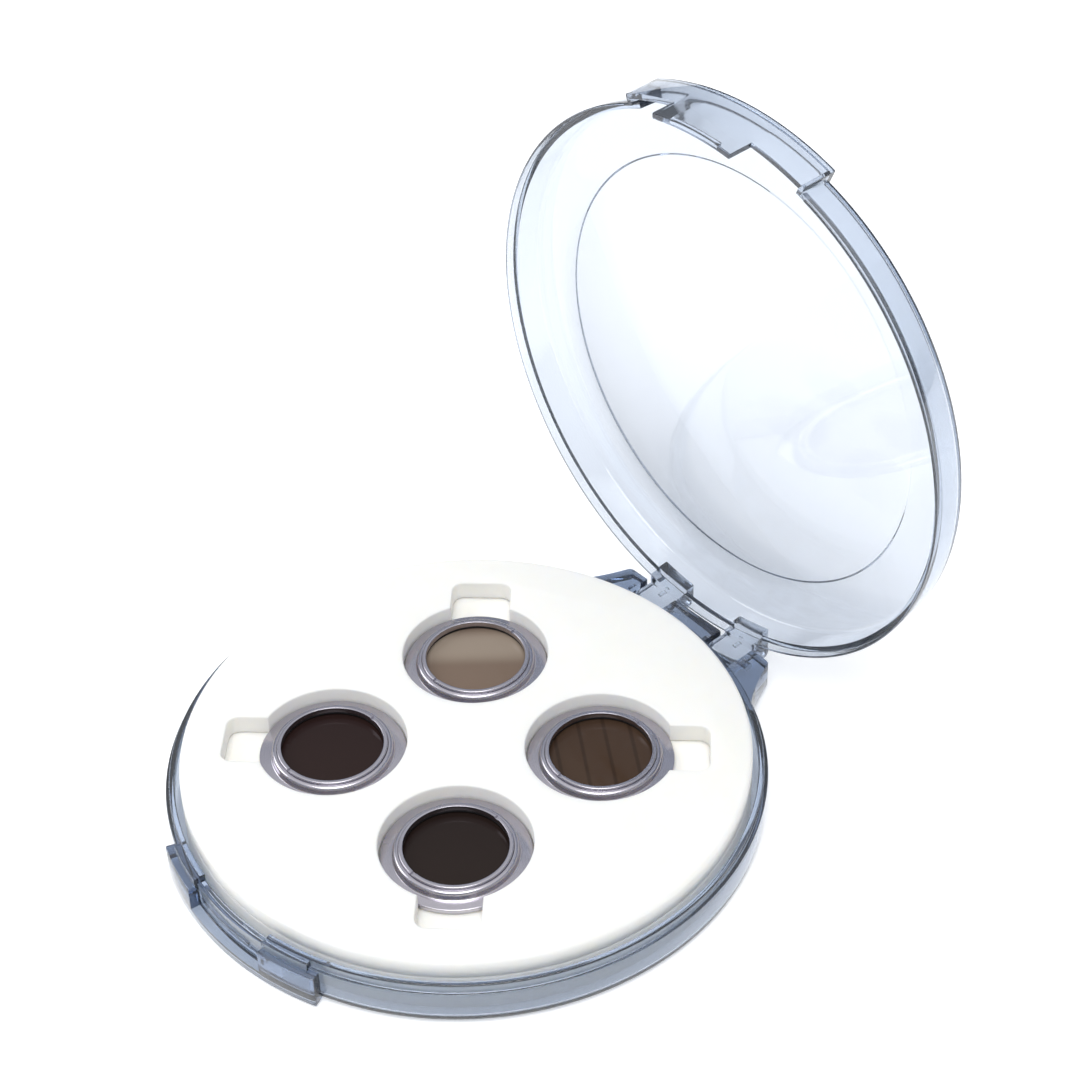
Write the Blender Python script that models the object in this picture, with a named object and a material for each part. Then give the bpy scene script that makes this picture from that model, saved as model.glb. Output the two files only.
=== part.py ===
"""Trial lens set: four tinted trial lenses in a foam insert, in a round clear case with a hinged lid.

Frame: metres, +Z up, origin at the centre of the case's underside. The hinge is at the back (+Y) and
the latch at the front (-Y). The lid is drawn shut, then turned open about its hinge.
"""
from math import asin, cos, pi, radians, sin, sqrt

import bmesh
import bpy
from mathutils import Matrix, Vector

# ---- Fits
GAP = 0.0003                    # between pieces that touch
RUNNING_GAP = 0.0005            # between pieces that pass each other

# ---- Case base
CASE_RADIUS = 0.0774            # outside of the base wall and of the lid's rim
WALL = 0.0015
FLOOR = 0.0015
SHOULDER_Z = 0.0104             # the step that the lid's rim stops above
BASE_DRAFT = 0.0002             # how much narrower the base is at its foot
LIP_HEIGHT = 0.0022             # raised lip inside the shoulder
LIP_STEP = 0.0010               # how far the lip stands in from the wall's outside
EDGE = 0.0005                   # broken edges

# ---- Lid
LID_DEPTH = 0.0114              # from the rim to the top of the lid
LID_PANEL = 0.0015
LID_TAPER = 0.0012              # how much narrower the skirt is at the top
RIM_WALL = 0.0007               # skirt beside the base's lip
LABEL_RADIUS = 0.0600           # round recess in the top of the lid
LABEL_DEPTH = 0.0004
LID_OPEN = 90.0                 # degrees, on its stop

# ---- Latch at the front
PAD_ANGLE = 22.0                # degrees either side of the front
PAD_PROUD = 0.0025              # how far the pads stand out from the case
PAD_END = 1.0                   # degrees of wall at each end of the lid's hollow pad
PAD_LIFT = 0.0003               # how far the pads' faces stay off the case's own
TONGUE_HALF = 0.0129
TONGUE_THICK = 0.0015
TONGUE_LENGTH = 0.0072          # below the lid's rim
HOOK_HALF = 0.0080
HOOK_PROUD = 0.0006
HOOK_HEIGHT = 0.0012
BEAD_HEIGHT = 0.0012

# ---- Hinge at the back
HINGE_BACK = 0.0026             # hinge axis behind the case's wall
HINGE_DROP = 0.0044             # hinge axis below the shoulder
WEB_HALF = 0.0087               # half width of the bracket between the two ears
EAR_WIDTH = 0.0110
EAR_TOP = 0.0064                # how far the ears reach up the lid from its rim
EAR_CHAMFER = 0.0018
TRUNNION_RADIUS = 0.0010
TRUNNION_LENGTH = 0.0025
BRACKET_WIDTH = 0.0070          # straight part of the outer brackets
BRACKET_FAIRING = 0.0100        # their curved run back into the wall
BRACKET_BACK = 0.0040           # how far the brackets reach behind the hinge axis
BRACKET_FOOT = 0.0040           # their underside below the hinge axis
BRACKET_DROP = 0.0003           # top of the brackets below the shoulder

# ---- Foam insert
FOAM_CLEARANCE = 0.0016         # round the foam, inside the lip
FOAM_TOP_LAYER = 0.0053
FOAM_BACKING_LAYER = 0.0099
FOAM_EDGE = 0.0012
POCKET_CLEARANCE = 0.00035
NOTCH_HALF = 0.0080             # finger notch beside each lens
NOTCH_REACH = 0.0090            # how far it reaches past the lens
NOTCH_CORNER = 0.0030

# ---- Trial lenses
LENS_COUNT = 4
LENS_CIRCLE = 0.0345            # radius that the lens centres lie on
FLANGE_RADIUS = 0.0190
FLANGE_THICK = 0.0013
HUB_RADIUS = 0.0157
HUB_HEIGHT = 0.0036
BORE_RADIUS = 0.0144
SEAT_RADIUS = 0.0130            # hole in the bottom of the cell
SEAT_THICK = 0.00045
GLASS_THICK = 0.0010
GASKET_WIDTH = 0.0008
GASKET_THICK = 0.0003
RETAINER_WIDTH = 0.0009
RETAINER_HEIGHT = 0.00155
SLOT_WIDTH = 0.0012             # spanner slots in the retaining ring
SLOT_DEPTH = 0.0004

CASE_STEPS = 80
LENS_STEPS = 40
SMALL_STEPS = 16
SHARP_ANGLE = radians(30)

# ---- Values that follow
LIP_RADIUS = CASE_RADIUS - LIP_STEP
LIP_TOP_Z = SHOULDER_Z + LIP_HEIGHT
RIM_Z = SHOULDER_Z + GAP
LID_TOP_Z = RIM_Z + LID_DEPTH
LID_CEILING_Z = LID_TOP_Z - LID_PANEL
LID_TOP_RADIUS = CASE_RADIUS - LID_TAPER
REBATE_RADIUS = CASE_RADIUS - RIM_WALL
REBATE_Z = LIP_TOP_Z + 2 * GAP
PAD_RADIUS = CASE_RADIUS + PAD_PROUD
TONGUE_RADIUS = PAD_RADIUS - TONGUE_THICK
HOOK_RADIUS = TONGUE_RADIUS - HOOK_PROUD
BEAD_RADIUS = HOOK_RADIUS - GAP
TONGUE_TIP_Z = RIM_Z - TONGUE_LENGTH
SLOT_HALF = TONGUE_HALF + RUNNING_GAP
HINGE_Y = CASE_RADIUS + HINGE_BACK
HINGE_Z = SHOULDER_Z - HINGE_DROP
EAR_RADIUS = HINGE_BACK
EAR_INNER_X = WEB_HALF + GAP
EAR_OUTER_X = EAR_INNER_X + EAR_WIDTH
BRACKET_X = EAR_OUTER_X + GAP
BRACKET_TOP_Z = SHOULDER_Z - BRACKET_DROP
BRACKET_FOOT_Z = HINGE_Z - BRACKET_FOOT
HOLE_RADIUS = TRUNNION_RADIUS + GAP
FOAM_RADIUS = LIP_RADIUS - WALL - FOAM_CLEARANCE
BACKING_Z = FLOOR + GAP
POCKET_Z = BACKING_Z + FOAM_BACKING_LAYER + GAP
FOAM_TOP_Z = POCKET_Z + FOAM_TOP_LAYER
POCKET_RADIUS = FLANGE_RADIUS + POCKET_CLEARANCE
GLASS_Z = SEAT_THICK + GAP
GASKET_Z = GLASS_Z + GLASS_THICK + GAP
RETAINER_Z = GASKET_Z + GASKET_THICK + GAP
INSERT_RADIUS = BORE_RADIUS - GAP


# ---- Building blocks

def new_material(name, colour, roughness, metallic=0.0, transmission=0.0, ior=1.5):
    made = bpy.data.materials.new(name)
    made.use_nodes = True
    shader = made.node_tree.nodes["Principled BSDF"]
    shader.inputs["Base Color"].default_value = (*colour, 1.0)
    shader.inputs["Roughness"].default_value = roughness
    shader.inputs["Metallic"].default_value = metallic
    shader.inputs["Transmission Weight"].default_value = transmission
    shader.inputs["IOR"].default_value = ior
    made.diffuse_color = (*colour, 1.0)
    return made


def new_object(name, mesh, parent=None, location=(0, 0, 0)):
    made = bpy.data.objects.new(name, mesh)
    bpy.context.scene.collection.objects.link(made)
    made.parent = parent
    made.location = location
    return made


def finish_mesh(name, bm, material=None):
    bmesh.ops.recalc_face_normals(bm, faces=bm.faces)
    mesh = bpy.data.meshes.new(name)
    bm.to_mesh(mesh)
    bm.free()
    mesh.shade_smooth()
    mesh.set_sharp_from_angle(angle=SHARP_ANGLE)
    if material:
        mesh.materials.append(material)
    return mesh


def turned(profile, steps):
    """A closed outline of (radius, height) points, turned about +Z."""
    bm = bmesh.new()
    verts = [bm.verts.new((radius, 0, height)) for radius, height in profile]
    for first, second in zip(verts, verts[1:] + verts[:1]):
        if first.co.x > 0 or second.co.x > 0:
            bm.edges.new((first, second))
    bmesh.ops.spin(bm, geom=bm.edges[:], cent=(0, 0, 0), axis=(0, 0, 1), angle=2 * pi,
                   steps=steps, use_merge=True)
    bmesh.ops.remove_doubles(bm, verts=bm.verts, dist=1e-6)
    return bm


def prism(outline, push):
    """A flat outline of points, pushed along a vector."""
    bm = bmesh.new()
    face = bm.faces.new([bm.verts.new(point) for point in outline])
    pushed = bmesh.ops.extrude_face_region(bm, geom=[face])
    moved = [item for item in pushed["geom"] if isinstance(item, bmesh.types.BMVert)]
    bmesh.ops.translate(bm, verts=moved, vec=push)
    return bm


def arc(centre, radius, start, end, steps):
    """Points on an arc in a plane, from one angle to another in degrees."""
    points = []
    for step in range(steps + 1):
        angle = radians(start + (end - start) * step / steps)
        points.append((centre[0] + radius * cos(angle), centre[1] + radius * sin(angle)))
    return points


def front_sector(inner, outer, start, end, low, high):
    """A block of a ring, between two angles measured from the front (-Y)."""
    steps = max(2, round((end - start) / (360 / CASE_STEPS)))
    outline = arc((0, 0), outer, start - 90, end - 90, steps)
    outline += arc((0, 0), inner, end - 90, start - 90, steps)
    return prism([(x, y, low) for x, y in outline], (0, 0, high - low))


def side_block(profile, low_x, high_x):
    """A (y, z) outline pushed along X."""
    return prism([(low_x, y, z) for y, z in profile], (high_x - low_x, 0, 0))


def round_bar(radius, low_x, high_x, y, z):
    bm = bmesh.new()
    place = Matrix.Translation(((low_x + high_x) / 2, y, z)) @ Matrix.Rotation(pi / 2, 4, "Y")
    bmesh.ops.create_cone(bm, cap_ends=True, segments=SMALL_STEPS, radius1=radius, radius2=radius,
                          depth=high_x - low_x, matrix=place)
    return bm


def combine(target, operation, name, bm):
    """Adds a block to a piece, or cuts it away, with a Boolean modifier."""
    tool = new_object(name, finish_mesh(name, bm), target.parent, target.location)
    tool.hide_render = True
    tool.display_type = "WIRE"
    step = target.modifiers.new(name, "BOOLEAN")
    step.operation = operation
    step.solver = "EXACT"
    step.object = tool
    return tool


def angle_at(half_width, radius):
    return asin(half_width / radius) * 180 / pi


# ---- Case base: a moulded tray with a lip, latch blocks and hinge brackets

def base_profile():
    inner = CASE_RADIUS - WALL
    foot = CASE_RADIUS - BASE_DRAFT
    lip_inner = LIP_RADIUS - WALL
    return [
        (0, 0), (foot - EDGE, 0), (foot, EDGE), (CASE_RADIUS, SHOULDER_Z), (LIP_RADIUS, SHOULDER_Z),
        (LIP_RADIUS, LIP_TOP_Z), (lip_inner, LIP_TOP_Z), (lip_inner, SHOULDER_Z - WALL / 2),
        (inner, SHOULDER_Z - WALL / 2 - LIP_STEP), (inner, FLOOR + EDGE), (inner - EDGE, FLOOR), (0, FLOOR),
    ]


def bracket_profile():
    """Side view of the hinge brackets, from the wall to behind the hinge axis."""
    back = HINGE_Y + BRACKET_BACK
    corner = BRACKET_BACK / 2
    root = CASE_RADIUS - WALL / 2
    return [
        (root, BRACKET_FOOT_Z), (back - corner, BRACKET_FOOT_Z), (back, BRACKET_FOOT_Z + corner),
        (back, BRACKET_TOP_Z - 2 * EDGE), (back - 2 * EDGE, BRACKET_TOP_Z), (root, BRACKET_TOP_Z),
    ]


def bracket_outline(side):
    """Plan of an outer bracket: a straight lug that runs back into the round wall in a hollow curve."""
    def wall_y(x):
        return sqrt((CASE_RADIUS - WALL / 2) ** 2 - x ** 2)

    back = HINGE_Y + BRACKET_BACK
    outer = BRACKET_X + BRACKET_WIDTH
    tip = outer + BRACKET_FAIRING
    corner = 3 * EDGE
    rise = back - corner - wall_y(outer)
    points = [(BRACKET_X, wall_y(BRACKET_X)), (BRACKET_X, back - EDGE), (BRACKET_X + EDGE, back)]
    points += [(outer - corner, back), (outer, back - corner)]
    steps = 5
    for step in range(1, steps):
        along = step / steps
        x = outer + BRACKET_FAIRING * along
        points.append((x, wall_y(x) + rise * (1 - along) ** 2))
    for step in range(steps):
        x = tip + (BRACKET_X - tip) * step / steps
        points.append((x, wall_y(x)))
    return [(side * x, y, BRACKET_FOOT_Z) for x, y in points]


def build_base(plastic):
    base = new_object("base_shell", finish_mesh("base_shell", turned(base_profile(), CASE_STEPS), plastic))
    buried = CASE_RADIUS - WALL / 2
    pad = front_sector(buried, PAD_RADIUS, -PAD_ANGLE, PAD_ANGLE, PAD_LIFT, SHOULDER_Z - PAD_LIFT)
    combine(base, "UNION", "latch_pad", pad)
    lip_angle = PAD_ANGLE - 2 * PAD_END
    lip = front_sector(LIP_RADIUS - WALL / 2, TONGUE_RADIUS - GAP, -lip_angle, lip_angle,
                       SHOULDER_Z - WALL / 2, LIP_TOP_Z - PAD_LIFT)
    combine(base, "UNION", "latch_lip", lip)
    slot = angle_at(SLOT_HALF, CASE_RADIUS)
    slot_depth = CASE_RADIUS - GAP
    combine(base, "DIFFERENCE", "tongue_slot",
            front_sector(slot_depth, PAD_RADIUS + WALL, -slot, slot, TONGUE_TIP_Z - GAP, LIP_TOP_Z + WALL))
    gap = angle_at(SLOT_HALF + GAP, CASE_RADIUS)
    combine(base, "DIFFERENCE", "lip_gap",
            front_sector(LIP_RADIUS - 2 * WALL, slot_depth + GAP, -gap, gap, SHOULDER_Z - PAD_LIFT / 2,
                         LIP_TOP_Z + 2 * WALL))
    bead_top = TONGUE_TIP_Z + 2 * HOOK_HEIGHT + GAP + BEAD_HEIGHT
    bead_half = angle_at(HOOK_HALF, BEAD_RADIUS)
    bead = front_sector(buried, BEAD_RADIUS, -bead_half, bead_half, bead_top - BEAD_HEIGHT, bead_top)
    combine(base, "UNION", "catch_bead", bead)
    combine(base, "UNION", "hinge_web", side_block(bracket_profile(), -WEB_HALF, WEB_HALF))
    for side, name in ((-1, "left"), (1, "right")):
        bracket = prism(bracket_outline(side), (0, 0, BRACKET_TOP_Z - BRACKET_FOOT_Z))
        combine(base, "UNION", f"hinge_bracket_{name}", bracket)
        inner = WEB_HALF - TRUNNION_LENGTH - GAP
        outer = BRACKET_X + TRUNNION_LENGTH + GAP
        low, high = sorted((side * inner, side * outer))
        combine(base, "DIFFERENCE", f"trunnion_hole_{name}", round_bar(HOLE_RADIUS, low, high, HINGE_Y, HINGE_Z))
    return base


# ---- Lid: a shallow clear dish with a latch tongue in front and two hinge ears behind

def lid_profile():
    inner = REBATE_RADIUS - WALL
    ceiling_radius = LID_TOP_RADIUS - WALL
    label_z = LID_TOP_Z - LABEL_DEPTH
    round_top = 2 * EDGE
    return [
        (0, LID_CEILING_Z), (ceiling_radius - round_top, LID_CEILING_Z),
        (ceiling_radius, LID_CEILING_Z - round_top), (inner, RIM_Z), (CASE_RADIUS, RIM_Z),
        (LID_TOP_RADIUS, LID_TOP_Z - round_top),
        (LID_TOP_RADIUS - round_top, LID_TOP_Z), (LABEL_RADIUS + LABEL_DEPTH, LID_TOP_Z),
        (LABEL_RADIUS, label_z), (0, label_z),
    ]


def ear_profile():
    """Side view of a hinge ear: round below about the hinge axis, square above where it joins the skirt."""
    inside = LID_TOP_RADIUS - 2 * WALL
    below = arc((HINGE_Y, HINGE_Z), EAR_RADIUS, 180, 360, 8)
    top = RIM_Z + EAR_TOP
    back = HINGE_Y + EAR_RADIUS
    return ([(inside, RIM_Z + GAP / 2), (HINGE_Y - EAR_RADIUS, RIM_Z + GAP / 2)] + below
            + [(back, top - 2 * EAR_CHAMFER), (back - EAR_CHAMFER, top), (inside, top)])


def build_lid(plastic):
    hinge = new_object("lid_hinge", None, None, (0, HINGE_Y, HINGE_Z))
    hinge.rotation_euler = (-radians(LID_OPEN), 0, 0)
    shut = (0, -HINGE_Y, -HINGE_Z)
    lid = new_object("lid_shell", finish_mesh("lid_shell", turned(lid_profile(), CASE_STEPS), plastic), hinge, shut)
    pad = front_sector(LID_TOP_RADIUS - WALL / 2, PAD_RADIUS, -PAD_ANGLE, PAD_ANGLE, TONGUE_TIP_Z,
                       LID_TOP_Z - PAD_LIFT)
    combine(lid, "UNION", "lid_pad", pad)
    inside = LID_TOP_RADIUS - 3 * WALL
    below = TONGUE_TIP_Z - WALL
    hollow = PAD_ANGLE - PAD_END
    combine(lid, "DIFFERENCE", "lid_pad_hollow",
            front_sector(inside, TONGUE_RADIUS, -hollow, hollow, below, LID_CEILING_Z - PAD_LIFT))
    tongue = angle_at(TONGUE_HALF, PAD_RADIUS)
    for name, start, end in (("left", -PAD_ANGLE - PAD_END, -tongue), ("right", tongue, PAD_ANGLE + PAD_END)):
        beside = front_sector(inside, PAD_RADIUS + WALL, start, end, below, RIM_Z + PAD_LIFT / 2)
        combine(lid, "DIFFERENCE", f"beside_tongue_{name}", beside)
    hook = angle_at(HOOK_HALF, HOOK_RADIUS)
    combine(lid, "UNION", "latch_hook",
            front_sector(HOOK_RADIUS, TONGUE_RADIUS + TONGUE_THICK / 2, -hook, hook,
                         TONGUE_TIP_Z + HOOK_HEIGHT, TONGUE_TIP_Z + 2 * HOOK_HEIGHT))
    for side, name in ((-1, "left"), (1, "right")):
        low, high = sorted((side * EAR_INNER_X, side * EAR_OUTER_X))
        ear = combine(lid, "UNION", f"hinge_ear_{name}", side_block(ear_profile(), low, high))
        core = turned([(0, 0), (LID_TOP_RADIUS - WALL / 2, 0), (LID_TOP_RADIUS - WALL / 2, 2 * LID_TOP_Z),
                       (0, 2 * LID_TOP_Z)], CASE_STEPS)
        combine(ear, "DIFFERENCE", f"ear_trim_{name}", core)
        low, high = sorted((side * (EAR_INNER_X - TRUNNION_LENGTH), side * (EAR_OUTER_X + TRUNNION_LENGTH)))
        combine(lid, "UNION", f"trunnion_{name}", round_bar(TRUNNION_RADIUS, low, high, HINGE_Y, HINGE_Z))
    lip_room = turned([(0, 0), (REBATE_RADIUS, 0), (REBATE_RADIUS, REBATE_Z), (0, REBATE_Z)], CASE_STEPS)
    combine(lid, "DIFFERENCE", "rim_rebate", lip_room)
    return lid


# ---- Foam insert: a cut-out layer on a plain backing layer

def lens_direction(index):
    angle = radians(45 + 360 / LENS_COUNT * index)
    return Vector((cos(angle), sin(angle), 0))


def pocket_outline(index):
    """A round pocket with a finger notch on the side away from the case's centre."""
    mouth = angle_at(NOTCH_HALF, POCKET_RADIUS)
    reach = FLANGE_RADIUS + NOTCH_REACH
    points = arc((0, 0), POCKET_RADIUS, mouth, 360 - mouth, LENS_STEPS)
    points += arc((reach - NOTCH_CORNER, NOTCH_CORNER - NOTCH_HALF), NOTCH_CORNER, -90, 0, 3)
    points += arc((reach - NOTCH_CORNER, NOTCH_HALF - NOTCH_CORNER), NOTCH_CORNER, 0, 90, 3)
    outward = lens_direction(index)
    across = Vector((-outward.y, outward.x, 0))
    centre = outward * LENS_CIRCLE
    return [centre + outward * x + across * y for x, y in points]


def build_foam(foam):
    profile = [
        (0, BACKING_Z), (FOAM_RADIUS, BACKING_Z), (FOAM_RADIUS, BACKING_Z + FOAM_BACKING_LAYER),
        (0, BACKING_Z + FOAM_BACKING_LAYER),
    ]
    new_object("foam_backing_layer", finish_mesh("foam_backing_layer", turned(profile, CASE_STEPS), foam))
    profile = [
        (0, POCKET_Z), (FOAM_RADIUS, POCKET_Z), (FOAM_RADIUS, FOAM_TOP_Z - FOAM_EDGE),
        (FOAM_RADIUS - 0.3 * FOAM_EDGE, FOAM_TOP_Z - 0.3 * FOAM_EDGE),
        (FOAM_RADIUS - FOAM_EDGE, FOAM_TOP_Z), (0, FOAM_TOP_Z),
    ]
    layer = new_object("foam_top_layer", finish_mesh("foam_top_layer", turned(profile, CASE_STEPS), foam))
    for index in range(LENS_COUNT):
        outline = [point + Vector((0, 0, POCKET_Z - WALL)) for point in pocket_outline(index)]
        combine(layer, "DIFFERENCE", f"pocket_{index + 1}", prism(outline, (0, 0, FOAM_TOP_LAYER + 2 * WALL)))


# ---- Trial lens: a metal cell with a tinted filter, a thin gasket and a retaining ring

def cell_profile():
    return [
        (SEAT_RADIUS, 0), (FLANGE_RADIUS - EDGE / 2, 0), (FLANGE_RADIUS, EDGE / 2),
        (FLANGE_RADIUS, FLANGE_THICK - EDGE / 2), (FLANGE_RADIUS - EDGE / 2, FLANGE_THICK),
        (HUB_RADIUS, FLANGE_THICK), (HUB_RADIUS, HUB_HEIGHT - EDGE), (HUB_RADIUS - EDGE, HUB_HEIGHT),
        (BORE_RADIUS, HUB_HEIGHT), (BORE_RADIUS, SEAT_THICK), (SEAT_RADIUS, SEAT_THICK),
    ]


def ring_profile(outer, width, low, height):
    return [(outer - width, low), (outer, low), (outer, low + height), (outer - width, low + height)]


def spanner_slots():
    """A bar across the top of the retaining ring, which cuts its two slots."""
    bm = bmesh.new()
    top = RETAINER_Z + RETAINER_HEIGHT
    bmesh.ops.create_cube(bm, size=1)
    bmesh.ops.scale(bm, verts=bm.verts, vec=(SLOT_WIDTH, 2 * FLANGE_RADIUS, 2 * SLOT_DEPTH))
    bmesh.ops.translate(bm, verts=bm.verts, vec=(0, 0, top))
    return bm


def build_lenses(metal, rubber, tints):
    cell = finish_mesh("lens_cell", turned(cell_profile(), LENS_STEPS), metal)
    gasket_ring = ring_profile(INSERT_RADIUS, GASKET_WIDTH, GASKET_Z, GASKET_THICK)
    gasket = finish_mesh("lens_gasket", turned(gasket_ring, LENS_STEPS), rubber)
    retainer_ring = ring_profile(INSERT_RADIUS, RETAINER_WIDTH, RETAINER_Z, RETAINER_HEIGHT)
    for index, (name, tint) in enumerate(tints):
        place = lens_direction(index) * LENS_CIRCLE + Vector((0, 0, POCKET_Z))
        lens = new_object(f"lens_{name}", None, None, place)
        new_object(f"lens_cell_{name}", cell, lens)
        disc = turned([(0, GLASS_Z), (INSERT_RADIUS, GLASS_Z), (INSERT_RADIUS, GLASS_Z + GLASS_THICK),
                       (0, GLASS_Z + GLASS_THICK)], LENS_STEPS)
        new_object(f"filter_glass_{name}", finish_mesh(f"filter_glass_{name}", disc, tint), lens)
        new_object(f"gasket_{name}", gasket, lens)
        retainer = finish_mesh(f"retaining_ring_{name}", turned(retainer_ring, LENS_STEPS), metal)
        ring = new_object(f"retaining_ring_{name}", retainer, lens)
        combine(ring, "DIFFERENCE", f"spanner_slots_{name}", spanner_slots())


def clear_scene():
    for item in list(bpy.data.objects):
        bpy.data.objects.remove(item, do_unlink=True)


clear_scene()
clear_plastic = new_material("clear polystyrene", (0.86, 0.91, 0.98), 0.05, 0.0, 0.9, 1.59)
white_foam = new_material("white polyethylene foam", (0.93, 0.93, 0.91), 0.9)
satin_metal = new_material("satin nickel plate", (0.60, 0.58, 0.61), 0.28, 1.0)
black_rubber = new_material("black rubber", (0.02, 0.02, 0.02), 0.7)
filter_tints = [
    ("back_right", new_material("dark brown filter", (0.063, 0.037, 0.025), 0.05)),
    ("back_left", new_material("light brown filter", (0.22, 0.15, 0.11), 0.05)),
    ("front_left", new_material("deep grey filter", (0.033, 0.021, 0.020), 0.05)),
    ("front_right", new_material("darkest grey filter", (0.030, 0.021, 0.018), 0.05)),
]
build_base(clear_plastic)
build_lid(clear_plastic)
build_foam(white_foam)
build_lenses(satin_metal, black_rubber, filter_tints)
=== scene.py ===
from math import asin, cos, degrees, pi, radians, sin, sqrt

import bmesh
import bpy
from mathutils import Matrix, Quaternion, Vector


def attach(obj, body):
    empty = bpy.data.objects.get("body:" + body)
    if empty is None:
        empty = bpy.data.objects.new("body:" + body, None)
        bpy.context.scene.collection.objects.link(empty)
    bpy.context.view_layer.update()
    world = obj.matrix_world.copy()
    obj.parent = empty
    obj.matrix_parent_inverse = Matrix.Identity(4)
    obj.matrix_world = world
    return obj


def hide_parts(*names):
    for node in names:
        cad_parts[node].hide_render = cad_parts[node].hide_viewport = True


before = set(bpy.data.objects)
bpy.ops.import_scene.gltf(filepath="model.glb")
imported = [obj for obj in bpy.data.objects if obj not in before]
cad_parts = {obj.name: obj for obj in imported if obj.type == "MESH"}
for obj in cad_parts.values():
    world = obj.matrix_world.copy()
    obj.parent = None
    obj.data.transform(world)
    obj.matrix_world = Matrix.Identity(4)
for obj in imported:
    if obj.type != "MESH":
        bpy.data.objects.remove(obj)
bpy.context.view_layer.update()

# ---- Camera
# Looks down into the open case from its right-hand front corner, a little
# rolled, through a long lens.
camera_data = bpy.data.cameras.new("camera")
camera_data.lens = 86.37
camera_data.sensor_width = 36.0
camera = bpy.data.objects.new("camera", camera_data)
bpy.context.scene.collection.objects.link(camera)
camera_spot = Vector((0.37212, -0.29673, 0.48275))
camera_target = Vector((-0.01549, 0.04061, 0.05227))
camera_roll = Quaternion((0, 0, 1), radians(-1.66))
camera.location = camera_spot
camera.rotation_euler = ((camera_target - camera_spot).to_track_quat("-Z", "Y") @ camera_roll).to_euler()
bpy.context.scene.camera = camera

# ---- Case base
# A shallow round tray, injection moulded in clear polystyrene in one shot with
# its raised lip, the two latch blocks in front and the hinge brackets behind.
MM = 0.001
WALL = 1.5
INSET = 0.3
CASE_RADIUS = 77.4
FLOOR_TOP = 1.5
SHOULDER = 10.4
LIP_TOP = 12.6
LIP_RADIUS = 76.4
RIM = 10.7
PAD_HALF_ANGLE = 22.0
PAD_RADIUS = 79.9
TONGUE_HALF = 12.9
TONGUE_RADIUS = 78.4
TONGUE_TIP = 3.5
SLOT_FLOOR = 3.2
SLOT_PLAY = 0.5
LIP_GAP_PLAY = 0.8
LIP_BLOCK_CUT_BACK = 2.0
BEAD_HALF = 8.0
BEAD_RADIUS = 77.5
BEAD_LOW = 6.2
BEAD_TOP = 7.4
HINGE_Y = 80.0
HINGE_Z = 6.0
WEB_HALF = 8.7
EAR_INNER = 9.0
EAR_OUTER = 20.0
BRACKET_INNER = 20.3
BRACKET_OUTER = 27.3
BRACKET_TIP = 37.3
BRACKET_TOP = 10.1
BRACKET_FOOT = 2.0
BRACKET_BACK = 84.0
TRUNNION_RADIUS = 1.0
TRUNNION_LENGTH = 2.5
TRUNNION_PLAY = 0.3
CASE_STEPS = 288


def linear(code):
    """An sRGB hex colour as linear red, green, blue and alpha."""
    parts = [int(code[i:i + 2], 16) / 255 for i in (1, 3, 5)]
    return tuple(c / 12.92 if c <= 0.04045 else ((c + 0.055) / 1.055) ** 2.4 for c in parts) + (1.0,)


def add_node(material, kind, settings=None, values=None, links=None):
    """Adds a shader node, with its settings, its sockets' values and what is plugged into it."""
    made = material.node_tree.nodes.new(kind)
    for name, value in (settings or {}).items():
        setattr(made, name, value)
    for socket, value in (values or {}).items():
        made.inputs[socket].default_value = value
    for socket, source in (links or {}).items():
        material.node_tree.links.new(source, made.inputs[socket])
    return made


def empty_material(name):
    material = bpy.data.materials.new(name)
    material.use_nodes = True
    material.node_tree.nodes.clear()
    return material


def outline_face(bm, corners):
    """A flat face in the XZ plane from (x, z, rounding) corners in millimetres."""
    verts = [bm.verts.new((x * MM, 0, z * MM)) for x, z, _ in corners]
    bm.faces.new(verts)
    for vert, (_, _, rounding) in zip(verts, corners):
        if rounding:
            bmesh.ops.bevel(bm, geom=[vert], offset=rounding * MM, offset_type="OFFSET", segments=4,
                            profile=0.5, affect="VERTICES", material=-1, clamp_overlap=True)
    bm.faces.ensure_lookup_table()
    return bm.faces[0]


def tidy(bm):
    bmesh.ops.remove_doubles(bm, verts=bm.verts, dist=1e-7)
    bmesh.ops.dissolve_degenerate(bm, edges=bm.edges, dist=1e-7)
    bmesh.ops.recalc_face_normals(bm, faces=bm.faces)


def lathe(corners, steps):
    """Turns a section of (radius, height, rounding) corners right round the Z axis."""
    bm = bmesh.new()
    outline_face(bm, corners)
    bmesh.ops.delete(bm, geom=list(bm.faces), context="FACES_ONLY")
    on_axis = [e for e in bm.edges if all(abs(v.co.x) < 1e-9 for v in e.verts)]
    bmesh.ops.delete(bm, geom=on_axis, context="EDGES")
    bmesh.ops.spin(bm, geom=bm.verts[:] + bm.edges[:], cent=(0, 0, 0), axis=(0, 0, 1), dvec=(0, 0, 0),
                   angle=2 * pi, steps=steps, use_merge=True, use_duplicate=False)
    tidy(bm)
    return bm


def round_ends(bm, rounding):
    """Breaks every edge sharper than 60 degrees."""
    sharp = [e for e in bm.edges if len(e.link_faces) == 2 and e.calc_face_angle() > radians(60)]
    if rounding and sharp:
        bmesh.ops.bevel(bm, geom=sharp, offset=rounding * MM, offset_type="OFFSET", segments=2,
                        profile=0.5, affect="EDGES", material=-1, clamp_overlap=True)


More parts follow.
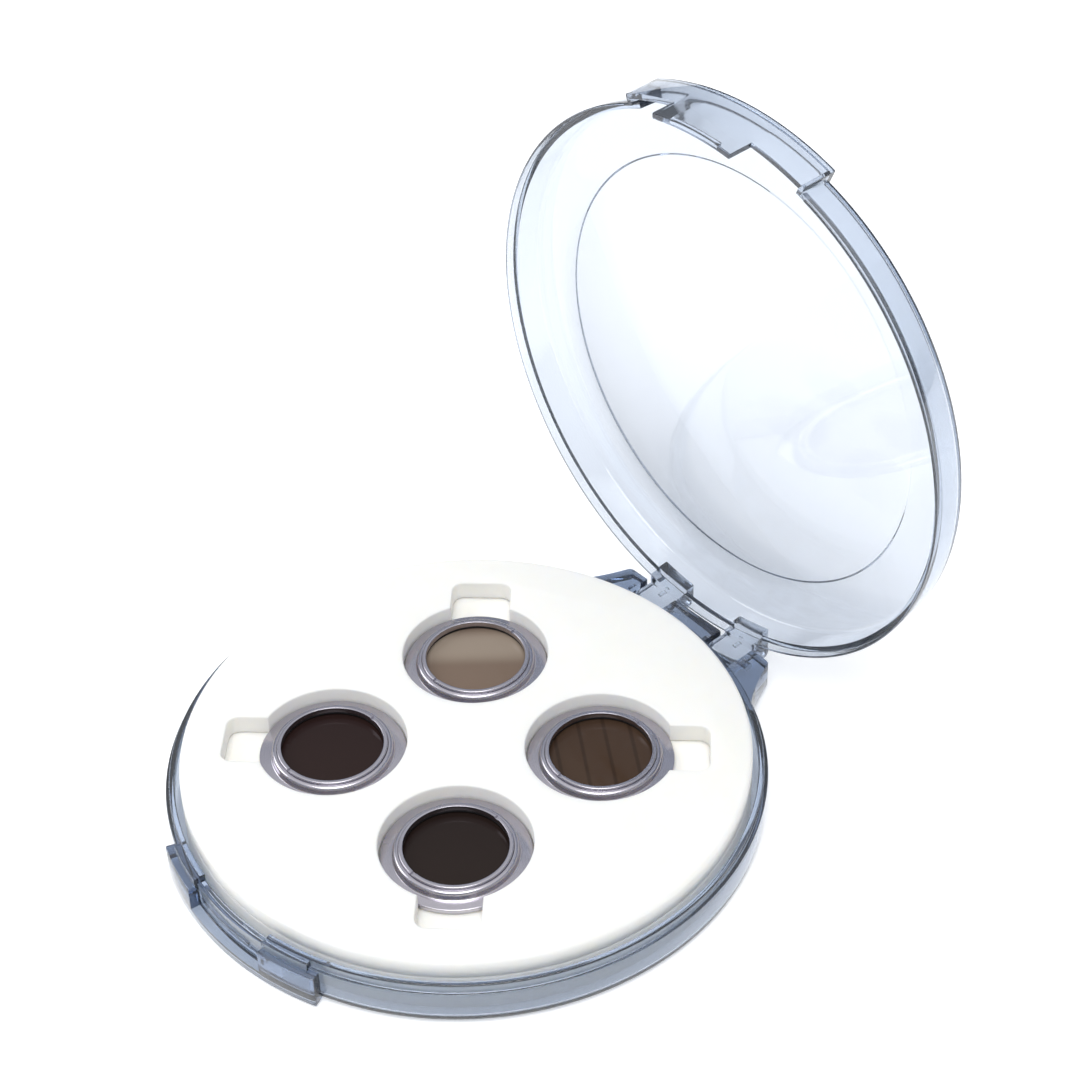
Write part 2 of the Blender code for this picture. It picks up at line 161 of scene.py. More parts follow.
def block_of_ring(corners, start, end, rounding):
    """Sweeps a section from one angle to another, measured from the front of the case."""
    bm = bmesh.new()
    first = outline_face(bm, corners)
    bmesh.ops.rotate(bm, verts=bm.verts, cent=(0, 0, 0), matrix=Matrix.Rotation(radians(start - 90), 3, "Z"))
    steps = max(4, round(abs(end - start) * CASE_STEPS / 360))
    bmesh.ops.spin(bm, geom=[first], cent=(0, 0, 0), axis=(0, 0, 1), dvec=(0, 0, 0),
                   angle=radians(end - start), steps=steps, use_merge=False, use_duplicate=False)
    tidy(bm)
    round_ends(bm, rounding)
    return bm


def block_along_x(corners, low, high, rounding):
    """Pushes a (y, z) outline from one x to another."""
    bm = bmesh.new()
    face = outline_face(bm, corners)
    bmesh.ops.rotate(bm, verts=bm.verts, cent=(0, 0, 0), matrix=Matrix.Rotation(pi / 2, 3, "Z"))
    bmesh.ops.translate(bm, verts=bm.verts, vec=(low * MM, 0, 0))
    pushed = bmesh.ops.extrude_face_region(bm, geom=[face], use_keep_orig=True)
    moved = [g for g in pushed["geom"] if isinstance(g, bmesh.types.BMVert)]
    bmesh.ops.translate(bm, verts=moved, vec=((high - low) * MM, 0, 0))
    tidy(bm)
    round_ends(bm, rounding)
    return bm


def round_bar(radius, low, high):
    """A bar on the hinge axis."""
    bm = bmesh.new()
    place = Matrix.Translation(Vector(((low + high) / 2, HINGE_Y, HINGE_Z)) * MM)
    bmesh.ops.create_cone(bm, cap_ends=True, segments=32, radius1=radius * MM, radius2=radius * MM,
                          depth=(high - low) * MM, matrix=place @ Matrix.Rotation(pi / 2, 4, "Y"))
    return bm


def new_piece(name, bm):
    mesh = bpy.data.meshes.new(name)
    bm.to_mesh(mesh)
    bm.free()
    piece = bpy.data.objects.new(name, mesh)
    bpy.context.scene.collection.objects.link(piece)
    return piece


def combine(piece, operation, bm):
    """Joins a block to a piece, or cuts it out of it, for good."""
    tool = new_piece("tool", bm)
    step = piece.modifiers.new("tool", "BOOLEAN")
    step.operation = operation
    step.solver = "EXACT"
    step.object = tool
    bpy.context.view_layer.update()
    shaped = bpy.data.meshes.new_from_object(piece.evaluated_get(bpy.context.evaluated_depsgraph_get()))
    piece.modifiers.clear()
    old_mesh, tool_mesh = piece.data, tool.data
    piece.data = shaped
    shaped.name = piece.name
    bpy.data.objects.remove(tool, do_unlink=True)
    bpy.data.meshes.remove(tool_mesh)
    bpy.data.meshes.remove(old_mesh)


def finish(piece, material, crease=35):
    """Smooth faces with sharp creases, one material."""
    bm = bmesh.new()
    bm.from_mesh(piece.data)
    tidy(bm)
    for face in bm.faces:
        face.smooth = True
        face.material_index = 0
    for edge in bm.edges:
        edge.smooth = len(edge.link_faces) == 2 and edge.calc_face_angle() < radians(crease)
    bm.to_mesh(piece.data)
    bm.free()
    piece.data.materials.clear()
    piece.data.materials.append(material)
    piece.location = (0, 0, 0)


def half_angle(half_width, radius):
    return degrees(asin(half_width / radius))


def clear_polystyrene(name, depth_of_tint):
    """Clear moulded polystyrene: glassy, slate blue where the light runs a long way inside it,
    with the faint waviness that the polished mould leaves."""
    material = empty_material(name)
    place = add_node(material, "ShaderNodeTexCoord")
    flow = add_node(material, "ShaderNodeTexNoise", {}, {"Scale": 45.0, "Detail": 2.0, "Roughness": 0.4},
                    {"Vector": place.outputs["Object"]})
    handling = add_node(material, "ShaderNodeTexNoise", {}, {"Scale": 260.0, "Detail": 4.0, "Roughness": 0.6},
                        {"Vector": place.outputs["Object"]})
    haze = add_node(material, "ShaderNodeMapRange", {},
                    {"From Min": 0.35, "From Max": 0.75, "To Min": 0.01, "To Max": 0.05},
                    {"Value": handling.outputs["Fac"]})
    wave = add_node(material, "ShaderNodeBump", {}, {"Strength": 0.06, "Distance": 0.0006},
                    {"Height": flow.outputs["Fac"]})
    surface = add_node(material, "ShaderNodeBsdfPrincipled", {},
                       {"Base Color": linear("#E6EBF2"), "Transmission Weight": 0.95, "IOR": 1.59},
                       {"Roughness": haze.outputs["Result"], "Normal": wave.outputs["Normal"]})
    depth = add_node(material, "ShaderNodeVolumeAbsorption", {},
                     {"Color": linear("#A3B7CF"), "Density": depth_of_tint})
    add_node(material, "ShaderNodeOutputMaterial", {}, {},
             {"Surface": surface.outputs["BSDF"], "Volume": depth.outputs["Volume"]})
    return material


# The base uses the lid's polystyrene with its tint nearly three times denser: painted shade that darkens the
# base wall where shade falls on it.
shade_darkened_base_plastic = clear_polystyrene("moulded_clear_polystyrene_base_painted_shade", 210.0)

base_shell = new_piece("base_shell_moulding", lathe([
    (0, 0, 0), (CASE_RADIUS - 0.2, 0, 2.2), (CASE_RADIUS, SHOULDER, 0.3), (LIP_RADIUS, SHOULDER, 0.15),
    (LIP_RADIUS, LIP_TOP, 0.35), (LIP_RADIUS - WALL, LIP_TOP, 0.35),
    (LIP_RADIUS - WALL, SHOULDER - WALL / 2, 0.3), (CASE_RADIUS - WALL, SHOULDER - WALL / 2 - 1.0, 0.3),
    (CASE_RADIUS - WALL, FLOOR_TOP, 1.4), (0, FLOOR_TOP, 0),
], CASE_STEPS))
buried = CASE_RADIUS - WALL / 2
combine(base_shell, "UNION", block_of_ring([
    (buried, INSET, 0), (PAD_RADIUS, INSET, 0), (PAD_RADIUS, SHOULDER - INSET, 0),
    (buried, SHOULDER - INSET, 0),
], -PAD_HALF_ANGLE, PAD_HALF_ANGLE, 0.45))
lip_half = PAD_HALF_ANGLE - LIP_BLOCK_CUT_BACK
lip_block_face = TONGUE_RADIUS - INSET
combine(base_shell, "UNION", block_of_ring([
    (LIP_RADIUS - WALL / 2, SHOULDER - WALL / 2, 0), (lip_block_face, SHOULDER - WALL / 2, 0),
    (lip_block_face, LIP_TOP - INSET, 0), (LIP_RADIUS - WALL / 2, LIP_TOP - INSET, 0),
], -lip_half, lip_half, 0.25))
slot_half = half_angle(TONGUE_HALF + SLOT_PLAY, CASE_RADIUS)
slot_face = CASE_RADIUS - INSET
combine(base_shell, "DIFFERENCE", block_of_ring([
    (slot_face, SLOT_FLOOR, 0.4), (PAD_RADIUS + WALL, SLOT_FLOOR, 0), (PAD_RADIUS + WALL, LIP_TOP + WALL, 0),
    (slot_face, LIP_TOP + WALL, 0),
], -slot_half, slot_half, 0))
lip_gap = half_angle(TONGUE_HALF + LIP_GAP_PLAY, CASE_RADIUS)
combine(base_shell, "DIFFERENCE", block_of_ring([
    (LIP_RADIUS - 2 * WALL, SHOULDER - INSET / 2, 0), (slot_face + INSET, SHOULDER - INSET / 2, 0),
    (slot_face + INSET, LIP_TOP + 2 * WALL, 0), (LIP_RADIUS - 2 * WALL, LIP_TOP + 2 * WALL, 0),
], -lip_gap, lip_gap, 0))
bead_half = half_angle(BEAD_HALF, BEAD_RADIUS)
combine(base_shell, "UNION", block_of_ring([
    (buried, BEAD_LOW, 0), (BEAD_RADIUS, BEAD_LOW, 0), (BEAD_RADIUS, BEAD_TOP, 0), (buried, BEAD_TOP, 0),
], -bead_half, bead_half, 0.15))
bracket_side = [
    (buried, BRACKET_FOOT, 0), (BRACKET_BACK, BRACKET_FOOT, 2.0), (BRACKET_BACK, BRACKET_TOP, 1.0),
    (buried, BRACKET_TOP, 0),
]
combine(base_shell, "UNION", block_along_x(bracket_side, -WEB_HALF, WEB_HALF, 0.3))


def wall_y(x):
    return sqrt(buried ** 2 - x ** 2)


def bracket_block(side):
    """An outer bracket, which runs back into the round wall in a hollow curve."""
    corner = 1.5
    steps = 12
    rise = BRACKET_BACK - corner - wall_y(BRACKET_OUTER)
    plan = [(BRACKET_INNER, wall_y(BRACKET_INNER)), (BRACKET_INNER, BRACKET_BACK),
            (BRACKET_OUTER - corner, BRACKET_BACK),
            (BRACKET_OUTER - 0.3 * corner, BRACKET_BACK - 0.3 * corner),
            (BRACKET_OUTER, BRACKET_BACK - corner)]
    for step in range(1, steps):
        along = step / steps
        x = BRACKET_OUTER + (BRACKET_TIP - BRACKET_OUTER) * along
        plan.append((x, wall_y(x) + rise * (1 - along) ** 2))
    for step in range(steps):
        x = BRACKET_TIP + (BRACKET_INNER - BRACKET_TIP) * step / steps
        plan.append((x, wall_y(x)))
    bm = bmesh.new()
    face = bm.faces.new([bm.verts.new((side * x * MM, y * MM, BRACKET_FOOT * MM)) for x, y in plan])
    pushed = bmesh.ops.extrude_face_region(bm, geom=[face], use_keep_orig=True)
    moved = [g for g in pushed["geom"] if isinstance(g, bmesh.types.BMVert)]
    bmesh.ops.translate(bm, verts=moved, vec=(0, 0, (BRACKET_TOP - BRACKET_FOOT) * MM))
    tidy(bm)
    round_ends(bm, 0.25)
    return bm


for side in (-1, 1):
    combine(base_shell, "UNION", bracket_block(side))
    low, high = sorted((side * (WEB_HALF - TRUNNION_LENGTH), side * (BRACKET_INNER + TRUNNION_LENGTH)))
    combine(base_shell, "DIFFERENCE", round_bar(TRUNNION_RADIUS + TRUNNION_PLAY, low, high))
finish(base_shell, shade_darkened_base_plastic)
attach(base_shell, "case_base")
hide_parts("base_shell")

# ---- Lid
# A shallow clear dish moulded in the same polystyrene. A tongue in front snaps
# over the base, and two ears behind turn on their own moulded trunnions.
LID_TOP = 22.1
CEILING = 20.6
LID_TOP_RADIUS = 76.2
REBATE_RADIUS = 76.7
REBATE_TOP = 13.2
LABEL_RADIUS = 60.0
LABEL_DEPTH = 0.4
EAR_RADIUS = 2.6
EAR_TOP = 17.1
EAR_STEPS = 16
HOOK_HALF = 8.0
HOOK_RADIUS = 77.8
HOOK_LOW = 4.7
HOOK_TOP = 5.9
PIN_MARK_RADIUS = 0.7
PIN_MARK_DEPTH = 1.5
PIN_MARK_X = 14.5
PIN_MARK_Y = 78.2


def swing_open(piece):
    """Turns a mesh made shut into its place on the open lid."""
    hinge = Vector((0, HINGE_Y, HINGE_Z)) * MM
    turn = Matrix.Translation(hinge) @ Matrix.Rotation(radians(-90), 4, "X") @ Matrix.Translation(-hinge)
    piece.data.transform(turn)


skirt_inner = REBATE_RADIUS - WALL
lid_shell = new_piece("lid_moulding", lathe([
    (0, CEILING, 0), (LID_TOP_RADIUS - WALL, CEILING, 1.2), (skirt_inner, RIM, 0.2), (CASE_RADIUS, RIM, 0.5),
    (LID_TOP_RADIUS, LID_TOP, 1.8), (LABEL_RADIUS + LABEL_DEPTH, LID_TOP, 0.15),
    (LABEL_RADIUS, LID_TOP - LABEL_DEPTH, 0.15), (0, LID_TOP - LABEL_DEPTH, 0),
], CASE_STEPS))
skirt_middle = LID_TOP_RADIUS - WALL / 2
well_inside = LID_TOP_RADIUS - 3 * WALL
combine(lid_shell, "UNION", block_of_ring([
    (skirt_middle, TONGUE_TIP, 0), (PAD_RADIUS, TONGUE_TIP, 0), (PAD_RADIUS, LID_TOP - INSET, 0),
    (skirt_middle, LID_TOP - INSET, 0),
], -PAD_HALF_ANGLE, PAD_HALF_ANGLE, 0.45))
hollow_half = PAD_HALF_ANGLE - 1
combine(lid_shell, "DIFFERENCE", block_of_ring([
    (well_inside, TONGUE_TIP - WALL, 0), (TONGUE_RADIUS, TONGUE_TIP - WALL, 0),
    (TONGUE_RADIUS, CEILING - INSET, 0.3), (well_inside, CEILING - INSET, 0),
], -hollow_half, hollow_half, 0))
tongue_half = half_angle(TONGUE_HALF, PAD_RADIUS)
for start, end in ((-PAD_HALF_ANGLE - 1, -tongue_half), (tongue_half, PAD_HALF_ANGLE + 1)):
    combine(lid_shell, "DIFFERENCE", block_of_ring([
        (well_inside, TONGUE_TIP - WALL, 0), (PAD_RADIUS + WALL, TONGUE_TIP - WALL, 0),
        (PAD_RADIUS + WALL, RIM + INSET / 2, 0), (well_inside, RIM + INSET / 2, 0),
    ], start, end, 0))
hook_half = half_angle(HOOK_HALF, HOOK_RADIUS)
hook_root = TONGUE_RADIUS + 0.7
combine(lid_shell, "UNION", block_of_ring([
    (HOOK_RADIUS, HOOK_LOW, 0), (hook_root, HOOK_LOW, 0), (hook_root, HOOK_TOP, 0),
    (HOOK_RADIUS, HOOK_TOP, 0),
], -hook_half, hook_half, 0.15))
ear_root = LID_TOP_RADIUS - 2 * WALL
ear_side = [(HINGE_Y - EAR_RADIUS, RIM + INSET / 2, 0), (ear_root, RIM + INSET / 2, 0),
            (ear_root, EAR_TOP, 0), (HINGE_Y + EAR_RADIUS, EAR_TOP, 1.8)]
for step in range(EAR_STEPS + 1):
    turn = radians(-180 * step / EAR_STEPS)
    ear_side.append((HINGE_Y + EAR_RADIUS * cos(turn), HINGE_Z + EAR_RADIUS * sin(turn), 0))
for side in (-1, 1):
    low, high = sorted((side * EAR_INNER, side * EAR_OUTER))
    ear = new_piece("ear", block_along_x(ear_side, low, high, 0.3))
    combine(ear, "DIFFERENCE", lathe([(0, 0, 0), (skirt_middle, 0, 0), (skirt_middle, 2 * LID_TOP, 0),
                                      (0, 2 * LID_TOP, 0)], CASE_STEPS))
    ear_block = bmesh.new()
    ear_block.from_mesh(ear.data)
    bpy.data.objects.remove(ear, do_unlink=True)
    combine(lid_shell, "UNION", ear_block)
    low, high = sorted((side * (EAR_INNER - TRUNNION_LENGTH), side * (EAR_OUTER + TRUNNION_LENGTH)))
    combine(lid_shell, "UNION", round_bar(TRUNNION_RADIUS, low, high))
    pin_mark = bmesh.new()
    mark_place = Matrix.Translation(Vector((side * PIN_MARK_X, PIN_MARK_Y, RIM)) * MM)
    bmesh.ops.create_cone(pin_mark, cap_ends=True, segments=24, radius1=PIN_MARK_RADIUS * MM,
                          radius2=PIN_MARK_RADIUS * MM, depth=2 * PIN_MARK_DEPTH * MM, matrix=mark_place)
    combine(lid_shell, "DIFFERENCE", pin_mark)
combine(lid_shell, "DIFFERENCE", lathe([(0, 0, 0), (REBATE_RADIUS, 0, 0), (REBATE_RADIUS, REBATE_TOP, 0.2),
                                        (0, REBATE_TOP, 0)], CASE_STEPS))
lid_plastic = clear_polystyrene("moulded_clear_polystyrene_lid", 75.0)
finish(lid_shell, lid_plastic)
swing_open(lid_shell)
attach(lid_shell, "lid")
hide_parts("lid_shell")

# ---- Foam insert
# White closed-cell polyethylene foam in two layers. The top one has a die-cut
# pocket with a finger notch for each lens; the lower one is a plain disc.
FOAM_RADIUS = 73.3
BACKING_LOW = 1.8
BACKING_TOP = 11.7
FOAM_LOW = 12.0
FOAM_TOP = 17.3
LENS_CIRCLE = 34.5
POCKET_RADIUS = 19.35
NOTCH_HALF = 8.0
NOTCH_REACH = 28.0
NOTCH_CORNER = 3.0
OUTER_ROUNDING = 1.2
POCKET_ROUNDING = 0.4
FOAM_STEPS = 192
POCKET_STEPS = 72
CORNER_STEPS = 6


def closed_cell_foam():
    """Polyethylene foam: matt and milky, with a skin of fine closed cells about 0.4 mm across that
    shows as a faint pebbling, and light that sinks in and softens every shadow."""
    material = empty_material("white_polyethylene_foam")
    place = add_node(material, "ShaderNodeTexCoord")
    cells = add_node(material, "ShaderNodeTexVoronoi", {}, {"Scale": 2300.0, "Randomness": 0.9},
                     {"Vector": place.outputs["Object"]})
    swell = add_node(material, "ShaderNodeTexNoise", {}, {"Scale": 70.0, "Detail": 3.0, "Roughness": 0.5},
                     {"Vector": place.outputs["Object"]})
    tone = add_node(material, "ShaderNodeMix", {"data_type": "RGBA"},
                    {6: linear("#FDFBF5"), 7: linear("#F8F4EB")}, {"Factor": swell.outputs["Fac"]})
    pebbling = add_node(material, "ShaderNodeBump", {}, {"Strength": 0.12, "Distance": 0.0001},
                        {"Height": cells.outputs["Distance"]})
    surface_swell = add_node(material, "ShaderNodeBump", {}, {"Strength": 0.15, "Distance": 0.0004},
                             {"Height": swell.outputs["Fac"], "Normal": pebbling.outputs["Normal"]})
    surface = add_node(material, "ShaderNodeBsdfPrincipled", {},
                       {"Roughness": 0.85, "IOR": 1.45, "Specular IOR Level": 0.3, "Subsurface Weight": 0.6,
                        "Subsurface Radius": (1.0, 0.9, 0.75), "Subsurface Scale": 0.004},
                       {"Base Color": tone.outputs[2], "Normal": surface_swell.outputs["Normal"]})
    add_node(material, "ShaderNodeOutputMaterial", {}, {}, {"Surface": surface.outputs["BSDF"]})
    return material


foam = closed_cell_foam()


def lens_centre(index):
    angle = radians(45 + 90 * index)
    return Vector((cos(angle), sin(angle), 0)) * LENS_CIRCLE * MM


def pocket_cutter(index):
    """A round pocket and its finger notch, as the punch that cuts them."""
    mouth = half_angle(NOTCH_HALF, POCKET_RADIUS)
    outline = []
    for step in range(POCKET_STEPS + 1):
        turn = radians(mouth + (360 - 2 * mouth) * step / POCKET_STEPS)
        outline.append((POCKET_RADIUS * cos(turn), POCKET_RADIUS * sin(turn)))
    for side, first in ((-1, -90), (1, 0)):
        for step in range(CORNER_STEPS + 1):
            turn = radians(first + 90 * step / CORNER_STEPS)
            outline.append((NOTCH_REACH - NOTCH_CORNER + NOTCH_CORNER * cos(turn),
                            side * (NOTCH_HALF - NOTCH_CORNER) + NOTCH_CORNER * sin(turn)))
    bm = bmesh.new()
    face = bm.faces.new([bm.verts.new((x * MM, y * MM, (FOAM_LOW - 1) * MM)) for x, y in outline])
    pushed = bmesh.ops.extrude_face_region(bm, geom=[face], use_keep_orig=True)
    moved = [g for g in pushed["geom"] if isinstance(g, bmesh.types.BMVert)]
    bmesh.ops.translate(bm, verts=moved, vec=(0, 0, (FOAM_TOP - FOAM_LOW + 2) * MM))
    outwards = Matrix.Rotation(radians(45 + 90 * index), 3, "Z")
    bmesh.ops.rotate(bm, verts=bm.verts, cent=(0, 0, 0), matrix=outwards)
    bmesh.ops.translate(bm, verts=bm.verts, vec=lens_centre(index))
    tidy(bm)
    return bm


foam_top = new_piece("foam_insert_top", lathe([
    (0, FOAM_LOW, 0), (FOAM_RADIUS, FOAM_LOW, 0.3), (FOAM_RADIUS, FOAM_TOP, 0), (0, FOAM_TOP, 0),
], FOAM_STEPS))
for index in range(4):
    combine(foam_top, "DIFFERENCE", pocket_cutter(index))
layer = bmesh.new()
layer.from_mesh(foam_top.data)
bmesh.ops.remove_doubles(layer, verts=layer.verts, dist=1e-6)
bmesh.ops.dissolve_limit(layer, angle_limit=radians(1), verts=layer.verts, edges=layer.edges)
for outside, rounding in ((True, OUTER_ROUNDING), (False, POCKET_ROUNDING)):
    rim_edges = [e for e in layer.edges if len(e.link_faces) == 2 and e.calc_face_angle() > radians(60)
                 and all(v.co.z > (FOAM_TOP - 0.01) * MM for v in e.verts)
                 and all((v.co.xy.length > (FOAM_RADIUS - 0.1) * MM) == outside for v in e.verts)]
    bmesh.ops.bevel(layer, geom=rim_edges, offset=rounding * MM, offset_type="OFFSET", segments=5,
                    profile=0.5, affect="EDGES", material=-1, clamp_overlap=False)
layer.to_mesh(foam_top.data)
layer.free()
finish(foam_top, foam, 50)
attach(foam_top, "case_base")
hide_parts("foam_top_layer")

foam_backing = new_piece("foam_insert_backing", lathe([
    (0, BACKING_LOW, 0), (FOAM_RADIUS, BACKING_LOW, 0.5), (FOAM_RADIUS, BACKING_TOP, 0.5),
    (0, BACKING_TOP, 0),
], FOAM_STEPS))
finish(foam_backing, foam, 50)
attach(foam_backing, "case_base")
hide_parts("foam_backing_layer")

# ---- Trial lenses
# A turned metal cell with a wide flange carries a disc of brown filter glass,
# held down on a thin black gasket by a threaded ring with two spanner slots.
LENS_LOW = 12.0
FLANGE_RADIUS = 19.0
FLANGE_THICK = 1.3
HUB_RADIUS = 15.7
HUB_HEIGHT = 3.6
BORE_RADIUS = 14.4
SEAT_RADIUS = 13.0
SEAT_THICK = 0.45
INSERT_RADIUS = 14.1
GLASS_LOW = 0.75
GLASS_TOP = 1.75
GASKET_LOW = 2.05
GASKET_TOP = 2.35
RING_LOW = 2.65
RING_TOP = 4.2
RING_INNER = 13.2
RING_OUTER = 14.33
GASKET_WIDTH = 0.8
SPANNER_SLOT_WIDTH = 1.2
SPANNER_SLOT_DEPTH = 0.4
LENS_STEPS = 144


def satin_nickel(centre):
    """Aluminium turned on a lathe and nickelled: silver with a faint violet cast, and fine rings
    about 0.35 mm apart, coarser than the real ones so that they show."""
    material = empty_material("turned_satin_nickel")
    place = add_node(material, "ShaderNodeTexCoord")
    centred = add_node(material, "ShaderNodeMapping", {}, {"Location": tuple(-c for c in centre)},
                       {"Vector": place.outputs["Object"]})
    rings = add_node(material, "ShaderNodeTexWave", {"wave_type": "RINGS", "rings_direction": "Z"},
                     {"Scale": 900.0, "Distortion": 1.2, "Detail": 2.0, "Detail Scale": 2.0},
                     {"Vector": centred.outputs["Vector"]})
    wear = add_node(material, "ShaderNodeTexNoise", {}, {"Scale": 160.0, "Detail": 3.0, "Roughness": 0.5},
                    {"Vector": place.outputs["Object"]})
    tone = add_node(material, "ShaderNodeMix", {"data_type": "RGBA"},
                    {6: linear("#C9C6CE"), 7: linear("#B7B3BC")}, {"Factor": wear.outputs["Fac"]})
    gloss = add_node(material, "ShaderNodeMapRange", {},
                     {"From Min": 0.3, "From Max": 0.7, "To Min": 0.18, "To Max": 0.28},
                     {"Value": wear.outputs["Fac"]})
    grooves = add_node(material, "ShaderNodeBump", {}, {"Strength": 0.05, "Distance": 0.00003},
                       {"Height": rings.outputs["Fac"]})
    surface = add_node(material, "ShaderNodeBsdfPrincipled", {}, {"Metallic": 1.0},
                       {"Base Color": tone.outputs[2], "Roughness": gloss.outputs["Result"],
                        "Normal": grooves.outputs["Normal"]})
    add_node(material, "ShaderNodeOutputMaterial", {}, {}, {"Surface": surface.outputs["BSDF"]})
    return material


def nitrile_rubber():
    """Thin black nitrile rubber: almost matt, with a fine grain."""
    material = empty_material("black_nitrile_rubber")
    place = add_node(material, "ShaderNodeTexCoord")
    grain = add_node(material, "ShaderNodeTexNoise", {}, {"Scale": 3000.0, "Detail": 3.0},
                     {"Vector": place.outputs["Object"]})
    rough = add_node(material, "ShaderNodeBump", {}, {"Strength": 0.2, "Distance": 0.00003},
                     {"Height": grain.outputs["Fac"]})
    surface = add_node(material, "ShaderNodeBsdfPrincipled", {},
                       {"Base Color": linear("#151314"), "Roughness": 0.65, "IOR": 1.52},
                       {"Normal": rough.outputs["Normal"]})
    add_node(material, "ShaderNodeOutputMaterial", {}, {}, {"Surface": surface.outputs["BSDF"]})
    return material


def filter_glass(name, body, second, amount, turn, spacing, start):
    """Neutral filter glass: a polished brown-grey disc, with a second tone in straight soft bands a set
    spacing apart. On the back-left lens that tone is a broad light band of painted reflection."""
    material = empty_material("polished_" + name)
    place = add_node(material, "ShaderNodeTexCoord")
    turned = add_node(material, "ShaderNodeMapping", {}, {"Rotation": (0, 0, radians(turn))},
                      {"Vector": place.outputs["Object"]})
    bands = add_node(material, "ShaderNodeTexWave", {"bands_direction": "X"},
                     {"Scale": pi / 10 / (spacing * MM), "Distortion": 0.3, "Detail": 1.0,
                      "Detail Scale": 0.5},
                     {"Vector": turned.outputs["Vector"]})
    band_and_painted_reflection_mask = add_node(material, "ShaderNodeMapRange", {"interpolation_type": "SMOOTHSTEP"},
                    {"From Min": start, "From Max": 1.0, "To Min": 0.0, "To Max": amount},
                    {"Value": bands.outputs["Fac"]})
    tint = add_node(material, "ShaderNodeMix", {"data_type": "RGBA"},
                    {6: linear(body), 7: linear(second)}, {"Factor": band_and_painted_reflection_mask.outputs["Result"]})
    surface = add_node(material, "ShaderNodeBsdfPrincipled", {},
                       {"Roughness": 0.03, "IOR": 1.52, "Specular IOR Level": 0.15},
                       {"Base Color": tint.outputs[2]})
    add_node(material, "ShaderNodeOutputMaterial", {}, {}, {"Surface": surface.outputs["BSDF"]})
    return material


def set_down(bm, index):
    bmesh.ops.translate(bm, verts=bm.verts, vec=lens_centre(index) + Vector((0, 0, LENS_LOW * MM)))
    return bm


rubber = nitrile_rubber()
filters = [
    ("back_right", "#45352A", "#2C211A", 0.55, -56, 6.6, 0.9),
    # Back left: the broad light second tone is a painted reflection of the foam pocket wall.
    ("back_left", "#776659", "#9C8F80", 0.75, -139, 27, 0.35),
    ("front_left", "#2A1D1B", "#2A1D1B", 0.0, 0, 20, 0.9),
    ("front_right", "#261D1A", "#261D1A", 0.0, 0, 20, 0.9),
]
for index, (name, body, second, amount, turn, spacing, start) in enumerate(filters):
    centre = lens_centre(index)
    nickel = satin_nickel(centre)
    cell = new_piece("cell_" + name, set_down(lathe([
        (SEAT_RADIUS, 0, 0.1), (FLANGE_RADIUS, 0, 0.3), (FLANGE_RADIUS, FLANGE_THICK, 0.3),
        (HUB_RADIUS, FLANGE_THICK, 0.5), (HUB_RADIUS, HUB_HEIGHT, 0.9), (BORE_RADIUS, HUB_HEIGHT, 0.08),
        (BORE_RADIUS, SEAT_THICK, 0.1), (SEAT_RADIUS, SEAT_THICK, 0.1),
    ], LENS_STEPS), index))
    finish(cell, nickel)
    glass = new_piece("glass_" + name, set_down(lathe([
        (0, GLASS_LOW, 0), (INSERT_RADIUS, GLASS_LOW, 0.15), (INSERT_RADIUS, GLASS_TOP, 0.15),
        (0, GLASS_TOP, 0),
    ], LENS_STEPS), index))
    finish(glass, filter_glass("filter_" + name, body, second, amount, turn, spacing, start))
    gasket = new_piece("gasket_ring_" + name, set_down(lathe([
        (INSERT_RADIUS - GASKET_WIDTH, GASKET_LOW, 0.08), (INSERT_RADIUS, GASKET_LOW, 0.08),
        (INSERT_RADIUS, GASKET_TOP, 0.08), (INSERT_RADIUS - GASKET_WIDTH, GASKET_TOP, 0.08),
    ], LENS_STEPS), index))
    finish(gasket, rubber)
    ring = new_piece("threaded_ring_" + name, set_down(lathe([
        (RING_INNER, RING_LOW, 0.1), (RING_OUTER, RING_LOW, 0.1), (RING_OUTER, RING_TOP, 0.3),
        (RING_INNER, RING_TOP, 0.15),
    ], LENS_STEPS), index))
    slots = bmesh.new()
    bmesh.ops.create_cube(slots, size=1)
    slot_size = Vector((SPANNER_SLOT_WIDTH, 2 * FLANGE_RADIUS, 2 * SPANNER_SLOT_DEPTH)) * MM
    bmesh.ops.scale(slots, verts=slots.verts, vec=slot_size)
    bmesh.ops.translate(slots, verts=slots.verts, vec=(0, 0, RING_TOP * MM))
    combine(ring, "DIFFERENCE", set_down(slots, index))
    finish(ring, nickel)
    for piece, node, slot in ((cell, "lens_cell_", "satin_metal"), (glass, "filter_glass_", "filter_" + name),
                              (gasket, "gasket_", "black_gasket"), (ring, "retaining_ring_", "satin_metal")):
        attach(piece, "trial_lens_" + name)
        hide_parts(node + name)

# ---- Floor and light
# A plain white table top and a soft studio: bright overhead, darker near the
# horizon, so that the clear plastic has something dark to bend into its edges.
FLOOR_REACH = 40.0
FLOOR_DROP = 0.0002

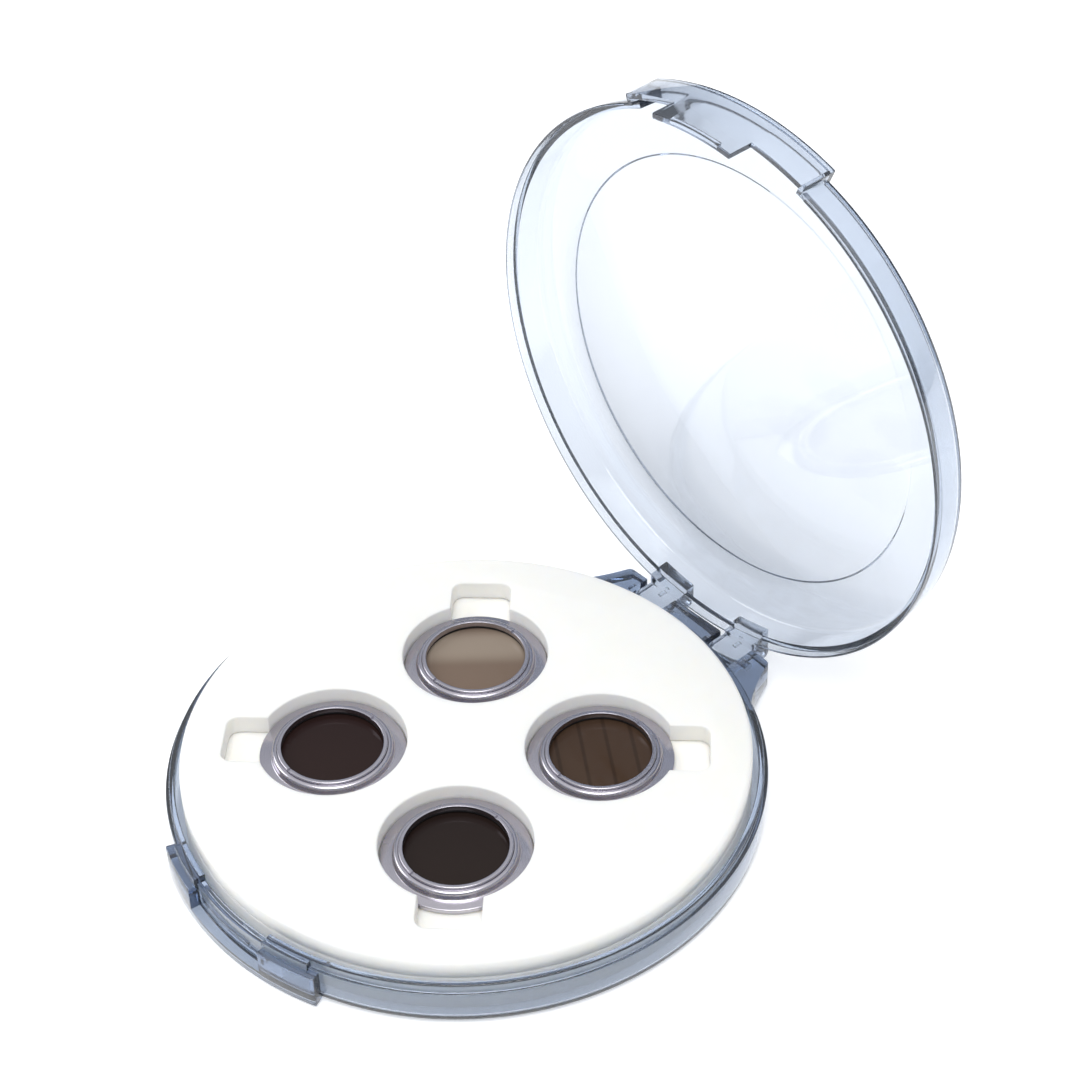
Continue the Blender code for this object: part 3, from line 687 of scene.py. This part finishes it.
floor_mesh = bmesh.new()
bmesh.ops.create_grid(floor_mesh, x_segments=1, y_segments=1, size=FLOOR_REACH)
bmesh.ops.translate(floor_mesh, verts=floor_mesh.verts, vec=(0, 0, -FLOOR_DROP))
floor = new_piece("floor", floor_mesh)
table_top = empty_material("white_laminate")
laminate = add_node(table_top, "ShaderNodeBsdfPrincipled", {},
                    {"Base Color": linear("#FAFAFA"), "Roughness": 0.7, "Emission Color": (1, 1, 1, 1),
                     "Emission Strength": 0.42})
add_node(table_top, "ShaderNodeOutputMaterial", {}, {}, {"Surface": laminate.outputs["BSDF"]})
floor.data.materials.append(table_top)

studio = bpy.data.worlds.new("studio")
bpy.context.scene.world = studio
studio.use_nodes = True
studio.node_tree.nodes.clear()
around = add_node(studio, "ShaderNodeTexCoord")
height = add_node(studio, "ShaderNodeSeparateXYZ", {}, {}, {"Vector": around.outputs["Generated"]})
sky = add_node(studio, "ShaderNodeValToRGB", {}, {}, {"Fac": height.outputs["Z"]})
sky.color_ramp.elements[0].position = 0.0
sky.color_ramp.elements[0].color = linear("#10151D")
sky.color_ramp.elements[1].position = 0.9
sky.color_ramp.elements[1].color = linear("#FFFFFF")
low_sky = sky.color_ramp.elements.new(0.25)
low_sky.color = linear("#56637A")
middle = sky.color_ramp.elements.new(0.55)
middle.color = linear("#AAB1BD")
background = add_node(studio, "ShaderNodeBackground", {}, {"Strength": 0.9}, {"Color": sky.outputs["Color"]})
add_node(studio, "ShaderNodeOutputWorld", {}, {}, {"Surface": background.outputs["Background"]})


def softbox(name, spot, aim, size, power):
    data = bpy.data.lights.new(name, "AREA")
    data.shape = "DISK"
    data.size = size
    data.energy = power
    lamp = bpy.data.objects.new(name, data)
    bpy.context.scene.collection.objects.link(lamp)
    lamp.location = spot
    lamp.rotation_euler = (Vector(aim) - Vector(spot)).to_track_quat("-Z", "Y").to_euler()


softbox("softbox_over", (0.35, -0.35, 1.4), (0, 0.02, 0), 1.1, 12)
softbox("softbox_left", (-1.2, -0.6, 0.8), (0, 0.02, 0.03), 0.9, 6)
bpy.context.scene.view_settings.view_transform = "Standard"
bpy.context.scene.view_settings.look = "None"
